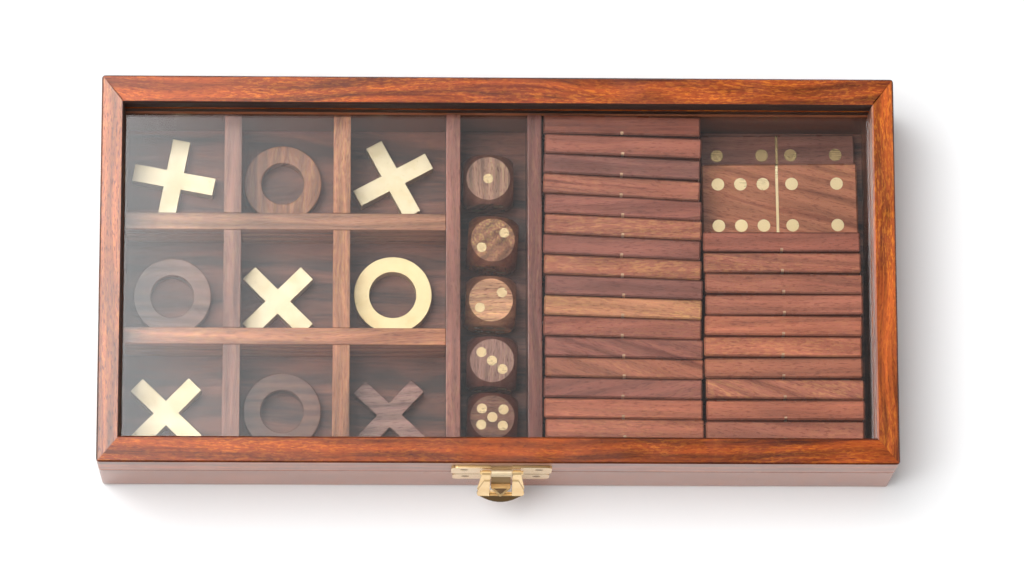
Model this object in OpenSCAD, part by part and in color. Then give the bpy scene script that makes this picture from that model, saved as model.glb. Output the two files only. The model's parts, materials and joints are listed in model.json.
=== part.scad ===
// Games compendium box: a shallow hardwood box with a glazed lid. The left of the inside is a three
// by three grid with crosses and rings, the middle is a channel with five dice, and the right is a
// bay with a double six set of dominoes. Millimetres, +Z up, the front faces -Y, and the origin is
// the middle of the underside.

/* [Dominoes] */
// Length of a domino
tile_l = 49.8; // [44:0.2:56]
// Width of a domino, which is its height where it stands on edge
tile_w = 24.8; // [22:0.2:28]
// Thickness of a domino
tile_t = 6.2; // [5.5:0.1:7.5]
// Bevel along a domino's edges
tile_bevel = 0.5; // [0.2:0.1:0.8]
// Least gap between two dominoes that stand in the left row
tile_gap = 0.2; // [0.05:0.01:0.3]
// Gap between the dominoes of the right row, which isn't full
loose_gap = 0.46; // [0.2:0.02:0.8]
// Turn of the first domino of the left row, in degrees
turn_first = 0.9; // [0:0.1:1.5]
// Turn that each of the next dominoes adds, in degrees
turn_rise = 0.8; // [0:0.1:1]
// Largest turn in the left row, in degrees
turn_peak = 3.1; // [1:0.1:4]
// Turn that each later domino loses again, in degrees
turn_ease = 0.23; // [0.1:0.01:0.25]
// Diameter of a domino's pips
tile_pip_d = 4.1; // [3:0.1:4.6]
// Pip spacing along a domino
tile_pip_x = 7.2; // [6:0.1:8]
// Pip spacing across a domino
tile_pip_y = 6.8; // [5.5:0.1:7.4]
// Width of the brass line across the middle of a domino
line_w = 0.9; // [0.5:0.1:1.5]
// Depth of the brass pips and lines
inlay_depth = 1; // [0.5:0.1:1.5]

/* [Dice] */
// Size across the flats of a die
die = 16; // [14:0.5:18]
// Diameter of the flat circle that the rounding leaves on each side
die_flat_d = 13.9; // [12:0.1:15]
// Diameter of a die's pips
die_pip_d = 3.2; // [2.4:0.1:3.8]
// Offset of a die's pips from the middle, along the face
die_pip_x = 3.4; // [2.8:0.1:3.8]
// Offset of a die's pips from the middle, across the face
die_pip_y = 2.6; // [2.2:0.1:3.2]
// Gap between two dice in the channel
die_gap = 3.4; // [1.5:0.1:4]
// Gap between the front die and the front wall
die_front_gap = 1.4; // [0.8:0.1:4]

/* [Crosses and rings] */
// Length of a cross from the end of one arm to the end of the opposite one
cross_l = 26.2; // [22:0.2:28]
// Width of a cross's arms
cross_arm = 5.6; // [4:0.1:7]
// Outer diameter of a ring
ring_d = 24.8; // [20:0.2:26]
// Hole of a wooden ring
ring_hole_d = 13.6; // [10:0.2:16]
// Hole of the brass ring
brass_ring_hole_d = 15; // [10:0.2:18]
// Thickness of the crosses and rings
piece_t = 5.5; // [4:0.1:7]

/* [Inside] */
// Room for fingers in a cell, more than the length of a cross or the width of a ring
cell_room = 4.1; // [2.5:0.1:8]
// Thickness of the grid's rails and posts
grid_t = 5.4; // [4:0.1:7]
// Height of the grid above the floor
grid_h = 19.8; // [14:0.2:22]
// How far the left post stands right of an even spacing
post_shift = 1.1; // [0:0.1:1.5]
// Room in the dice channel, more than a die
channel_room = 5.3; // [3:0.1:8]
// Thickness of the partitions beside the dice channel
partition_t = 4.5; // [3:0.1:6]
// Drop from the glass down to the top of the partitions
partition_drop = 2.8; // [1:0.1:5]
// Room in the domino bay, more than two lengths of a domino
bay_room = 4.4; // [3:0.1:8]
// Room left at the end of the full row of dominoes
row_room = 0.6; // [0.2:0.1:2]

/* [Box] */
// Thickness of the base's front and back walls
wall_t = 9; // [7:0.5:12]
// Thickness of the base's end walls
end_t = 7; // [6:0.5:10]
// Height of the base up to the seam
base_h = 26; // [24:0.5:27]
// Thickness of the floor panel
floor_t = 4; // [3:0.5:5]
// Width of the rebate that the floor panel is glued into
rebate_w = 3.5; // [2:0.5:4]
// Radius along the bottom edge outside
foot_r = 2.2; // [1:0.2:3]
// Radius of the box's upright corners
corner_r = 1.2; // [0.6:0.1:2]
// Width of the eased edges at the seam
seam_ease = 0.3; // [0.1:0.1:0.6]

/* [Lid] */
// Width of the lid's front and back rails
rail_t = 8.3; // [7:0.1:10]
// Width of the lid's end rails
rail_end_t = 7; // [6:0.1:9]
// Rise of the rails above the glass
rail_rise = 8.2; // [6:0.1:10]
// Width of the bevel along the lid's top edges
arris = 0.5; // [0.2:0.1:1]
// Thickness of the glass
glass_t = 2; // [1.5:0.1:3]
// Depth of the groove that holds the glass
groove_d = 2.5; // [1.5:0.1:3]
// Gap between the glass and the dominoes
glass_gap = 1; // [0.6:0.1:3]

/* [Hinges] */
// Distance from each end of the box to the middle of its hinge
hinge_inset = 45; // [35:1:60]
// Length of a hinge
hinge_l = 24; // [18:0.5:30]
// Height of a hinge leaf from the seam to its edge
leaf_h = 8.6; // [7:0.1:11]
// Thickness of a hinge leaf
leaf_t = 0.8; // [0.6:0.1:1]
// Diameter of the hinge barrel
barrel_d = 3.2; // [2.8:0.1:4]
// Diameter of the hinge pin
hinge_pin_d = 1.4; // [1:0.1:1.8]

/* [Latch] */
// How far the latch stands right of the middle
latch_x = 1; // [-5:0.5:5]
// Width of the latch's lid plate
lid_plate_w = 31.4; // [26:0.2:36]
// Height of the latch's lid plate
lid_plate_h = 10; // [9:0.1:11]
// Width of the latch's base plate
base_plate_w = 30.4; // [26:0.2:36]
// Height of the latch's base plate
base_plate_h = 7.9; // [7:0.1:10]
// Thickness of the latch's plates
plate_t = 0.9; // [0.6:0.1:1]
// Height of the flap's axis above the seam
flap_axis_h = 7.9; // [7:0.1:8.5]
// Diameter of the knuckle on the lid plate
knuckle_d = 2.2; // [2:0.1:2.3]
// Length of the knuckle on the lid plate
knuckle_l = 6.2; // [5:0.1:7]
// Diameter of the latch's pin
latch_pin_d = 1; // [0.8:0.1:1.1]
// Length of the flap from its axis to the bend of its lip
flap_l = 17.3; // [16.5:0.1:18]
// Width of the flap at its axis
flap_top_w = 12.9; // [12:0.1:15]
// Width of the flap at its widest
flap_w = 15.1; // [14:0.1:18]
// Thickness of the flap
flap_t = 0.8; // [0.6:0.1:1]
// Lean of the closed flap away from the box, in degrees
flap_lean = 13; // [12:0.5:15]
// Width of the bar below the flap's window
flap_bar = 0.8; // [0.6:0.1:1.2]
// Length of the flap's finger lip
lip_l = 2.7; // [2:0.1:4]
// Bend of the finger lip, in degrees
lip_bend = 56; // [30:1:60]
// Reach of the catch's nose from the front of the box
nose_out = 6.6; // [6.4:0.1:7]

/* [Screws] */
// Diameter of the screws' heads
screw_head_d = 2.5; // [2:0.1:3]
// Diameter of the screws' shanks
screw_d = 1.3; // [1:0.1:1.6]
// Length of the screws
screw_l = 5; // [4:0.1:5.5]

/* [Hidden] */
$fn = 48;

// Clearances
glue_gap = 0.02;
running_gap = 0.05;
side_gap = 0.25;
panel_gap = 0.1;
loose_least = 0.35;
over = 1;

// The double six set: 28 dominoes, two of them flat, sixteen in the left row, ten in the right
upper_pair = [6, 4];
lower_pair = [4, 4];
standing_set = [
    for (high = [0:6])
        for (low = [0:high])
            if ([high, low] != upper_pair && [high, low] != lower_pair) [high, low]
];
left_count = 16;
right_count = len(standing_set) - left_count;

// Turns and places along the left row, counted from the back
function left_turn(i) = min(turn_first + turn_rise * i, turn_peak - turn_ease * max(0, i - 3));
function tile_reach(turn) = tile_t / 2 * cos(turn) + tile_l / 2 * abs(sin(turn));
function left_step(i) =
    tile_t / cos(turn_peak) + tile_gap + tile_l / 2 * sin(abs(left_turn(i) - left_turn(i - 1)));
function left_place(i) =
    i == 0 ? tile_reach(left_turn(0)) + tile_gap : left_place(i - 1) + left_step(i);
left_row_l = left_place(left_count - 1) + tile_reach(left_turn(left_count - 1)) + tile_gap;

// The right row starts at the front wall
right_turn_most = 0.4;
function right_turn(i) = right_turn_most * sin(137 * i);
right_step = tile_t + loose_gap + tile_l / 2 * sin(0.3);
function right_place(i) = tile_reach(right_turn_most) + tile_gap + right_step * i;
right_row_l = right_place(right_count - 1) + tile_reach(right_turn_most);

// How far a cross or a ring reaches from its middle, for a turn of 0 to 90 degrees
function cross_reach(turn) = max(
    cross_l / 2 * cos(turn) + cross_arm / 2 * sin(turn),
    cross_l / 2 * sin(turn) + cross_arm / 2 * cos(turn));

// Inside, from the contents
die_row_l = 5 * die + 4 * die_gap + 2 * die_front_gap;
cell_w = max(cross_l, ring_d) + cell_room;
inner_d = max(left_row_l + row_room, 3 * cell_w + 2 * grid_t, die_row_l);
cell_d = (inner_d - 2 * grid_t) / 3;
channel_w = die + channel_room;
bay_w = 2 * tile_l + bay_room;
inner_w = 3 * cell_w + 2 * grid_t + 2 * partition_t + channel_w + bay_w;
box_w = inner_w + 2 * end_t;
box_d = inner_d + 2 * wall_t;
glass_z = floor_t + tile_w + glass_gap;
box_h = glass_z + glass_t + rail_rise;
lid_h = box_h - base_h;

// Edges of the spaces from left to right, and of the grid's rails
left_x = -inner_w / 2;
partition_left_x = left_x + 3 * cell_w + 2 * grid_t;
channel_x = partition_left_x + partition_t;
partition_right_x = channel_x + channel_w;
bay_x = partition_right_x + partition_t;
post_left_x = left_x + cell_w + post_shift;
post_right_x = left_x + 2 * cell_w + grid_t;
rail_back_y = cell_d / 2;
rail_front_y = -cell_d / 2 - grid_t;
partition_h = glass_z - partition_drop - floor_t;

// Edges of the cells
cell_left = [left_x, post_left_x + grid_t, post_right_x + grid_t];
cell_right = [post_left_x, post_right_x, partition_left_x];
cell_back = [inner_d / 2, rail_back_y, rail_front_y];
cell_front = [rail_back_y + grid_t, rail_front_y + grid_t, -inner_d / 2];

// Dominoes' columns
column_wall_gap = 0.6;
column_gap = 0.8;
column_jitter = 0.3;
left_column_x = bay_x + column_wall_gap + tile_l / 2;
right_column_x = left_column_x + tile_l + column_gap;
flat_x = right_column_x + column_jitter;
flat_back_gap = 2;
flat_front_gap = 0.3;
lower_y = inner_d / 2 - flat_back_gap - tile_w / 2;
upper_y = -inner_d / 2 + right_row_l + flat_front_gap + tile_w / 2;
lower_turn = 0.9;
upper_turn = 0.7;

// Shifts of a domino's brass from the even places: the left half's pips, the line and the right half's
// pips along the domino, and all the pips across it
even_set = [0, 0, 0, 0];
lower_set = [0.2, -0.2, -1, -1.1];
upper_set = [0, -0.8, -1.3, -1];

// Dice from the back: the sides that face up, front and right, the place across the channel from -1
// to 1 of the play there, the shift along it as a share of the gap, and the turn in degrees
dice = [
    [1, 2, 3, -0.7, -0.06, 0],
    [2, 3, 1, -0.1, -0.27, -4],
    [2, 6, 3, -0.4, -0.3, -2],
    [3, 2, 6, -0.25, -0.36, -2],
    [5, 4, 1, -0.2, 0, -2.5]
];
die_sphere_r = sqrt(pow(die / 2, 2) + pow(die_flat_d / 2, 2));

// Hinge and latch
front_y = -box_d / 2;
back_y = box_d / 2;
barrel_gap = 0.3;
hinge_y = back_y + barrel_gap + barrel_d / 2;
hinge_x = box_w / 2 - hinge_inset;
leaf_start = 0.2;
knuckle_share = hinge_l / 3;
ear_d = knuckle_d - 0.4;
ear_gap = 0.15;
ear_side_gap = 0.35;
flap_axis_out = plate_t + ear_gap + ear_d / 2;
flap_axis_y = front_y - flap_axis_out;
flap_axis_z = base_h + flap_axis_h;
window_w = knuckle_l + 2 * ear_side_gap;
window_l = flap_l - flap_bar;
nose_r = window_l - side_gap;
nose_drop = sqrt(pow(nose_r, 2) - pow(nose_out - flap_axis_out, 2));
nose_z = flap_axis_z - nose_drop;
lid_plate_lift = 0.6;
base_plate_drop = 0.1;
lid_plate_z = base_h + lid_plate_lift;
base_plate_z = base_h - base_plate_drop - base_plate_h;
hinge_screw_inset = 4;
hinge_screw_edge = 3.2;
hinge_screw_x = hinge_l / 2 - hinge_screw_inset;
hinge_screw_z = leaf_h - hinge_screw_edge;
plate_screw_inset = 4;
plate_screw_edge = 3.4;
lid_screw_x = lid_plate_w / 2 - plate_screw_inset;
lid_screw_z = lid_plate_z + lid_plate_h - plate_screw_edge;
base_screw_x = base_plate_w / 2 - plate_screw_inset;
base_screw_z = base_plate_z + base_plate_h - plate_screw_edge;

// Shapes that several pieces share

module rounded_plan() {
    square([box_w - 2 * corner_r, box_d], center = true);
    square([box_w, box_d - 2 * corner_r], center = true);
    for (sx = [-1, 1])
        for (sy = [-1, 1])
            translate([sx * (box_w / 2 - corner_r), sy * (box_d / 2 - corner_r)])
                circle(r = corner_r);
}

// The front piece's share of the plan between its two mitres
module front_plan(end, long) {
    intersection() {
        rounded_plan();
        polygon([
            [-box_w / 2, -box_d / 2], [box_w / 2, -box_d / 2],
            [box_w / 2 - end, -box_d / 2 + long], [-box_w / 2 + end, -box_d / 2 + long]
        ]);
    }
}

module left_plan(end, long) {
    intersection() {
        rounded_plan();
        polygon([
            [-box_w / 2, -box_d / 2], [-box_w / 2 + end, -box_d / 2 + long],
            [-box_w / 2 + end, box_d / 2 - long], [-box_w / 2, box_d / 2]
        ]);
    }
}

// A wall's section, drawn from the outer face inwards
module wall_section(t) {
    difference() {
        union() {
            translate([foot_r, foot_r]) circle(r = foot_r);
            polygon([
                [foot_r, 0], [t, 0], [t, base_h], [seam_ease, base_h],
                [0, base_h - seam_ease], [0, foot_r], [foot_r, foot_r]
            ]);
        }
        translate([t - rebate_w, -over]) square([rebate_w + over, floor_t + over]);
    }
}

// A lid rail's section, drawn from the outer face inwards and up from the seam
module rail_section(t) {
    difference() {
        polygon([
            [seam_ease, 0], [t, 0], [t, lid_h - arris], [t - arris, lid_h],
            [arris, lid_h], [0, lid_h - arris], [0, seam_ease]
        ]);
        translate([t - groove_d, glass_z - base_h - panel_gap])
            square([groove_d + over, glass_t + 2 * panel_gap]);
    }
}

module along_front() {
    translate([-box_w / 2, -box_d / 2, 0]) rotate([90, 0, 90]) linear_extrude(box_w) children();
}

module along_left() {
    translate([-box_w / 2, box_d / 2, 0]) rotate([90, 0, 0]) linear_extrude(box_d) children();
}

module front_wall() {
    intersection() {
        along_front() wall_section(wall_t);
        linear_extrude(base_h) front_plan(end_t, wall_t);
    }
}

module left_wall() {
    intersection() {
        along_left() wall_section(end_t);
        linear_extrude(base_h) left_plan(end_t, wall_t);
    }
}

module front_rail() {
    translate([0, 0, base_h]) intersection() {
        along_front() rail_section(rail_t);
        linear_extrude(lid_h) front_plan(rail_end_t, rail_t);
    }
}

module left_rail() {
    translate([0, 0, base_h]) intersection() {
        along_left() rail_section(rail_end_t);
        linear_extrude(lid_h) left_plan(rail_end_t, rail_t);
    }
}

// A countersunk screw that points down, with the top of its head at the origin
module screw(head_h) {
    slot_w = 0.4;
    slot_depth = 0.3;
    difference() {
        union() {
            translate([0, 0, -head_h]) cylinder(h = head_h, d1 = screw_d, d2 = screw_head_d);
            translate([0, 0, -screw_l]) cylinder(h = screw_l - head_h / 2, d = screw_d);
        }
        translate([-screw_head_d, -slot_w / 2, -slot_depth])
            cube([2 * screw_head_d, slot_w, slot_depth + over]);
    }
}

// The hole for that screw through its plate and into the wood
module screw_hole(head_h) {
    grow = 2 * glue_gap;
    translate([0, 0, -head_h]) cylinder(h = head_h, d1 = screw_d + grow, d2 = screw_head_d + grow);
    translate([0, 0, -glue_gap]) cylinder(h = over, d = screw_head_d + grow);
    translate([0, 0, -screw_l - glue_gap]) cylinder(h = screw_l, d = screw_d + grow);
}

// Places of the screws, each with +Z out of the box
module at_hinge_screws(side) {
    for (sx = [-1, 1])
        for (sh = [-1, 1])
            translate([sx * hinge_x + sh * hinge_screw_x, back_y + leaf_t, base_h + side * hinge_screw_z])
                rotate([-90, 0, 0]) children();
}

module at_latch_screws(x, z) {
    for (sx = [-1, 1])
        translate([latch_x + sx * x, front_y - plate_t, z]) rotate([90, 0, 0]) children();
}

module at_lid_latch_screws() {
    at_latch_screws(lid_screw_x, lid_screw_z) children();
}

module at_base_latch_screws() {
    at_latch_screws(base_screw_x, base_screw_z) children();
}

// Base

module base_front() {
    color("#8a5a44") difference() {
        front_wall();
        at_base_latch_screws() screw_hole(plate_t);
    }
}

module base_back() {
    color("#8a5a44") difference() {
        mirror([0, 1, 0]) front_wall();
        at_hinge_screws(-1) screw_hole(leaf_t);
    }
}

module base_left_end() {
    color("#94614a") left_wall();
}

module base_right_end() {
    color("#94614a") mirror([1, 0, 0]) left_wall();
}

module base_floor() {
    fit = 2 * (rebate_w - panel_gap);
    color("#4a3024") translate([-(inner_w + fit) / 2, -(inner_d + fit) / 2, 0])
        cube([inner_w + fit, inner_d + fit, floor_t]);
}

// Grid: the rails run across and are notched from below, the posts are notched from above

module rail_across(y) {
    difference() {
        translate([left_x, y, floor_t]) cube([partition_left_x - left_x, grid_t, grid_h]);
        for (x = [post_left_x, post_right_x])
            translate([x, y - over, floor_t - over]) cube([grid_t, grid_t + 2 * over, grid_h / 2 + over]);
    }
}

module post_along(x) {
    difference() {
        translate([x, -inner_d / 2, floor_t]) cube([grid_t, inner_d, grid_h]);
        for (y = [rail_back_y, rail_front_y])
            translate([x - over, y, floor_t + grid_h / 2]) cube([grid_t + 2 * over, grid_t, grid_h]);
    }
}

module grid_rail_back() {
    color("#7a4a30") rail_across(rail_back_y);
}

module grid_rail_front() {
    color("#7a4a30") rail_across(rail_front_y);
}

module grid_post_left() {
    color("#6e4230") post_along(post_left_x);
}

module grid_post_right() {
    color("#6e4230") post_along(post_right_x);
}

module partition(x) {
    translate([x, -inner_d / 2, floor_t]) cube([partition_t, inner_d, partition_h]);
}

module partition_left() {
    color("#7d4a2e") partition(partition_left_x);
}

module partition_right() {
    color("#7d4a2e") partition(partition_right_x);
}

// Lid

module lid_front() {
    color("#b5643a") difference() {
        front_rail();
        at_lid_latch_screws() screw_hole(plate_t);
    }
}

module lid_back() {
    color("#b5643a") difference() {
        mirror([0, 1, 0]) front_rail();
        at_hinge_screws(1) screw_hole(leaf_t);
    }
}

module lid_left_end() {
    color("#bd6d42") left_rail();
}

module lid_right_end() {
    color("#bd6d42") mirror([1, 0, 0]) left_rail();
}

module glass_pane() {
    pane_w = box_w - 2 * rail_end_t + 2 * (groove_d - panel_gap);
    pane_d = box_d - 2 * rail_t + 2 * (groove_d - panel_gap);
    color([0.85, 0.9, 0.9, 0.35]) translate([-pane_w / 2, -pane_d / 2, glass_z])
        cube([pane_w, pane_d, glass_t]);
}

// Hinges: the base leaf has the two outer knuckles, the lid leaf the middle one

module knuckle(from, to) {
    translate([from, hinge_y, base_h]) rotate([0, 90, 0]) cylinder(h = to - from, d = barrel_d);
}

module leaf_plate(side) {
    low = side > 0 ? base_h + leaf_start : base_h - leaf_h;
    translate([-hinge_l / 2, back_y, low]) cube([hinge_l, leaf_t, leaf_h - leaf_start]);
}

// The room that the other leaf's knuckle turns in
module knuckle_room(from, to) {
    room = barrel_d + 2 * side_gap;
    translate([from - side_gap, hinge_y, base_h]) rotate([0, 90, 0])
        cylinder(h = to - from + 2 * side_gap, d = room);
}

module pin_bore() {
    translate([-hinge_l, hinge_y, base_h]) rotate([0, 90, 0])
        cylinder(h = 2 * hinge_l, d = hinge_pin_d + 2 * running_gap);
}

module base_leaf() {
    inner = knuckle_share / 2;
    difference() {
        union() {
            difference() {
                leaf_plate(-1);
                knuckle_room(-inner, inner);
            }
            knuckle(-hinge_l / 2, -inner - side_gap / 2);
            knuckle(inner + side_gap / 2, hinge_l / 2);
        }
        pin_bore();
        translate([-hinge_x, 0, 0]) at_hinge_screws(-1) screw_hole(leaf_t);
    }
}

module lid_leaf() {
    inner = knuckle_share / 2;
    difference() {
        union() {
            difference() {
                leaf_plate(1);
                knuckle_room(-hinge_l, -inner);
                knuckle_room(inner, hinge_l);
            }
            knuckle(-inner + side_gap / 2, inner - side_gap / 2);
        }
        pin_bore();
        translate([-hinge_x, 0, 0]) at_hinge_screws(1) screw_hole(leaf_t);
    }
}

module hinge_pin() {
    head_h = 0.4;
    head_d = barrel_d - 0.8;
    translate([-hinge_l / 2 - head_h, hinge_y, base_h]) rotate([0, 90, 0]) {
        cylinder(h = hinge_l + 2 * head_h, d = hinge_pin_d);
        cylinder(h = head_h, d = head_d);
        translate([0, 0, hinge_l + head_h]) cylinder(h = head_h, d = head_d);
    }
}

module hinge_left_base_leaf() {
    color("#c9a24a") translate([-hinge_x, 0, 0]) base_leaf();
}

module hinge_left_lid_leaf() {
    color("#c9a24a") translate([-hinge_x, 0, 0]) lid_leaf();
}

module hinge_left_pin() {
    color("#a9873c") translate([-hinge_x, 0, 0]) hinge_pin();
}

module hinge_right_base_leaf() {
    color("#c9a24a") translate([hinge_x, 0, 0]) base_leaf();
}

module hinge_right_lid_leaf() {
    color("#c9a24a") translate([hinge_x, 0, 0]) lid_leaf();
}

module hinge_right_pin() {
    color("#a9873c") translate([hinge_x, 0, 0]) hinge_pin();
}

module hinge_base_screws() {
    color("#b8963f") at_hinge_screws(-1) screw(leaf_t);
}

module hinge_lid_screws() {
    color("#b8963f") at_hinge_screws(1) screw(leaf_t);
}

// Latch: a plate with a hinged flap on the lid, and a plate with a nose on the base

module plate(w, h, z) {
    r = 2;
    translate([latch_x - w / 2, front_y, z]) rotate([90, 0, 0]) linear_extrude(plate_t) {
        translate([r, 0]) square([w - 2 * r, h]);
        translate([0, r]) square([w, h - 2 * r]);
        for (x = [r, w - r])
            for (y = [r, h - r])
                translate([x, y]) circle(r = r);
    }
}

module across_flap_axis(from, to, d) {
    translate([latch_x + from, flap_axis_y, flap_axis_z]) rotate([0, 90, 0])
        cylinder(h = to - from, d = d);
}

module latch_lid_plate() {
    half = knuckle_l / 2;
    color("#d8b455") difference() {
        union() {
            plate(lid_plate_w, lid_plate_h, lid_plate_z);
            across_flap_axis(-half, half, knuckle_d);
            translate([latch_x - half, flap_axis_y, flap_axis_z - knuckle_d / 2])
                cube([knuckle_l, flap_axis_out, knuckle_d / 2]);
        }
        translate([latch_x - window_w / 2, front_y - plate_t - over, flap_axis_z + knuckle_d / 2])
            cube([window_w, plate_t + 2 * over, lid_plate_h]);
        across_flap_axis(-flap_w, flap_w, latch_pin_d + 2 * running_gap);
        at_lid_latch_screws() screw_hole(plate_t);
    }
}

module latch_pin() {
    half = flap_top_w / 2;
    head_h = 0.3;
    head_d = ear_d - 0.3;
    color("#a9873c") union() {
        across_flap_axis(-half - head_h, half + head_h, latch_pin_d);
        across_flap_axis(-half - head_h, -half, head_d);
        across_flap_axis(half, half + head_h, head_d);
    }
}

// The flap lies flat here, with its axis on X and its free end along +Y
module flat_flap() {
    taper = 0.7;
    hip = 3;
    difference() {
        union() {
            translate([0, 0, -flap_t / 2]) linear_extrude(flap_t) polygon([
                [-flap_top_w / 2, 0], [flap_top_w / 2, 0], [flap_top_w / 2, ear_d],
                [flap_w / 2, flap_l - hip], [flap_w / 2 - taper, flap_l],
                [-flap_w / 2 + taper, flap_l], [-flap_w / 2, flap_l - hip], [-flap_top_w / 2, ear_d]
            ]);
            translate([-flap_top_w / 2, 0, 0]) rotate([0, 90, 0]) cylinder(h = flap_top_w, d = ear_d);
        }
        translate([-window_w / 2, -knuckle_d, -knuckle_d]) cube([window_w, knuckle_d + window_l, 2 * knuckle_d]);
        translate([-flap_w, 0, 0]) rotate([0, 90, 0]) cylinder(h = 2 * flap_w, d = latch_pin_d + 2 * running_gap);
    }
}

module lip() {
    chord = flap_w - 1.5;
    r = (pow(chord / 2, 2) + pow(lip_l, 2)) / (2 * lip_l);
    translate([0, flap_l, 0]) rotate([-lip_bend, 0, 0]) translate([0, 0, -flap_t / 2])
        linear_extrude(flap_t) intersection() {
            translate([0, lip_l - r]) circle(r = r);
            translate([-flap_w, -flap_t / 4]) square([2 * flap_w, lip_l + over]);
        }
}

module latch_flap() {
    color("#e3bf62") translate([latch_x, flap_axis_y, flap_axis_z])
        rotate([-90 - flap_lean, 0, 0]) {
            flat_flap();
            lip();
        }
}

// The catch's nose, seen from the side as distances from the box and heights, and from the front
module latch_catch() {
    nose_w = window_w - 3 * side_gap;
    ridge = nose_out - 2.2;
    ridge_drop = 3;
    tip_w = 1.4;
    bend_t = 0.9;
    top = base_plate_z + base_plate_h - 0.3;
    color("#d8b455") difference() {
        union() {
            plate(base_plate_w, base_plate_h, base_plate_z);
            intersection() {
                translate([latch_x - nose_w / 2, front_y, 0]) rotate([90, 0, 90])
                    linear_extrude(nose_w) mirror([1, 0]) polygon([
                        [plate_t / 2, top], [plate_t, top], [ridge - 1.7, top - ridge_drop + 0.8],
                        [ridge, top - ridge_drop], [nose_out, nose_z], [nose_out - bend_t, nose_z],
                        [ridge - bend_t, top - ridge_drop - bend_t], [ridge - 2.2, top - ridge_drop],
                        [plate_t / 2, top - ridge_drop]
                    ]);
                translate([latch_x, front_y + over, 0]) rotate([90, 0, 0]) linear_extrude(2 * nose_out)
                    polygon([
                        [-nose_w / 2, top], [-nose_w / 2, top - ridge_drop], [-tip_w / 2, nose_z],
                        [tip_w / 2, nose_z], [nose_w / 2, top - ridge_drop], [nose_w / 2, top]
                    ]);
            }
        }
        at_base_latch_screws() screw_hole(plate_t);
    }
}

module latch_lid_screws() {
    color("#b8963f") at_lid_latch_screws() screw(plate_t);
}

module latch_base_screws() {
    color("#b8963f") at_base_latch_screws() screw(plate_t);
}

// Crosses and rings. Each lies in its cell at a share, from -1 to 1, of the play that it has there.

function in_cell(column, row, reach, share) = [
    (cell_left[column] + cell_right[column]) / 2
        + share[0] * ((cell_right[column] - cell_left[column]) / 2 - reach - loose_least),
    (cell_back[row] + cell_front[row]) / 2
        + share[1] * ((cell_back[row] - cell_front[row]) / 2 - reach - loose_least),
    floor_t
];

module cross(column, row, turn, share) {
    translate(in_cell(column, row, cross_reach(abs(turn)), share)) rotate([0, 0, turn])
        for (side = [0, 90])
            rotate([0, 0, side]) translate([-cross_l / 2, -cross_arm / 2, 0])
                cube([cross_l, cross_arm, piece_t]);
}

module ring(column, row, hole_d, share) {
    translate(in_cell(column, row, ring_d / 2, share)) difference() {
        cylinder(h = piece_t, d = ring_d);
        translate([0, 0, -over]) cylinder(h = piece_t + 2 * over, d = hole_d);
    }
}

module cross_back_left() {
    color("#e0c88c") cross(0, 0, -10.5, [-0.45, -0.8]);
}

module ring_back_middle() {
    color("#8f5a3c") ring(1, 0, ring_hole_d, [-0.95, -0.9]);
}

module cross_back_right() {
    color("#e0c88c") cross(2, 0, 28.5, [-0.8, -0.5]);
}

module ring_middle_left() {
    color("#96603f") ring(0, 1, ring_hole_d, [-0.3, -0.9]);
}

module cross_centre() {
    color("#e0c88c") cross(1, 1, 45, [-1, -1]);
}

module ring_middle_right() {
    color("#e0c88c") ring(2, 1, brass_ring_hole_d, [-0.65, -0.65]);
}

module cross_front_left() {
    color("#e0c88c") cross(0, 2, 46, [-0.6, -0.85]);
}

module ring_front_middle() {
    color("#8f5a3c") ring(1, 2, ring_hole_d, [-0.75, -0.9]);
}

module cross_front_right() {
    color("#4f2c28") cross(2, 2, 47, [-0.75, -0.95]);
}

// Pips of one to six, as shares of the two offsets, with a line of three along the face for a six
function pip_places(n) = concat(
    n % 2 == 1 ? [[0, 0]] : [],
    n == 2 ? [[1, 1], [-1, -1]] : [],
    n == 3 ? [[-1, 1], [1, -1]] : [],
    n > 3 ? [[-1, -1], [-1, 1], [1, -1], [1, 1]] : [],
    n == 6 ? [[0, -1], [0, 1]] : []
);

// Dice

function die_reach(turn) = die / 2 * cos(turn) + die_flat_d / 2 * abs(sin(turn));

module at_die(i) {
    play = channel_w / 2 - die_reach(dice[i][5]) - loose_least;
    from_front = die_front_gap + die / 2 + (4 - i) * (die + die_gap);
    translate([
        channel_x + channel_w / 2 + dice[i][3] * play,
        -inner_d / 2 + from_front + dice[i][4] * die_gap,
        floor_t + die / 2
    ]) rotate([0, 0, dice[i][5]]) children();
}

// The six sides of a die with their numbers, each turned so that its +Z points out
module on_sides(i) {
    top = dice[i][0];
    front = dice[i][1];
    right = dice[i][2];
    numbers = [top, 7 - top, front, 7 - front, right, 7 - right];
    turns = [[0, 0, 0], [180, 0, 0], [90, 0, 0], [-90, 0, 0], [0, 90, 0], [0, -90, 0]];
    for (side = [0:5])
        rotate(turns[side]) translate([0, 0, die / 2])
            for (place = pip_places(numbers[side]))
                translate([place[0] * die_pip_x, place[1] * die_pip_y, 0]) children();
}

module die_body(i) {
    at_die(i) difference() {
        intersection() {
            cube(die, center = true);
            sphere(r = die_sphere_r);
        }
        on_sides(i) translate([0, 0, -inlay_depth]) cylinder(h = inlay_depth + over, d = die_pip_d);
    }
}

module die_pips(i) {
    at_die(i) on_sides(i) translate([0, 0, -inlay_depth + glue_gap])
        cylinder(h = inlay_depth - glue_gap, d = die_pip_d - 2 * glue_gap);
}

module die_1() {
    color("#6d5a4c") die_body(0);
}

module die_2() {
    color("#80452f") die_body(1);
}

module die_3() {
    color("#a05c34") die_body(2);
}

module die_4() {
    color("#54302c") die_body(3);
}

module die_5() {
    color("#7d3c28") die_body(4);
}

module die_1_pips() {
    color("#d9bb6c") die_pips(0);
}

module die_2_pips() {
    color("#d9bb6c") die_pips(1);
}

module die_3_pips() {
    color("#d9bb6c") die_pips(2);
}

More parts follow.
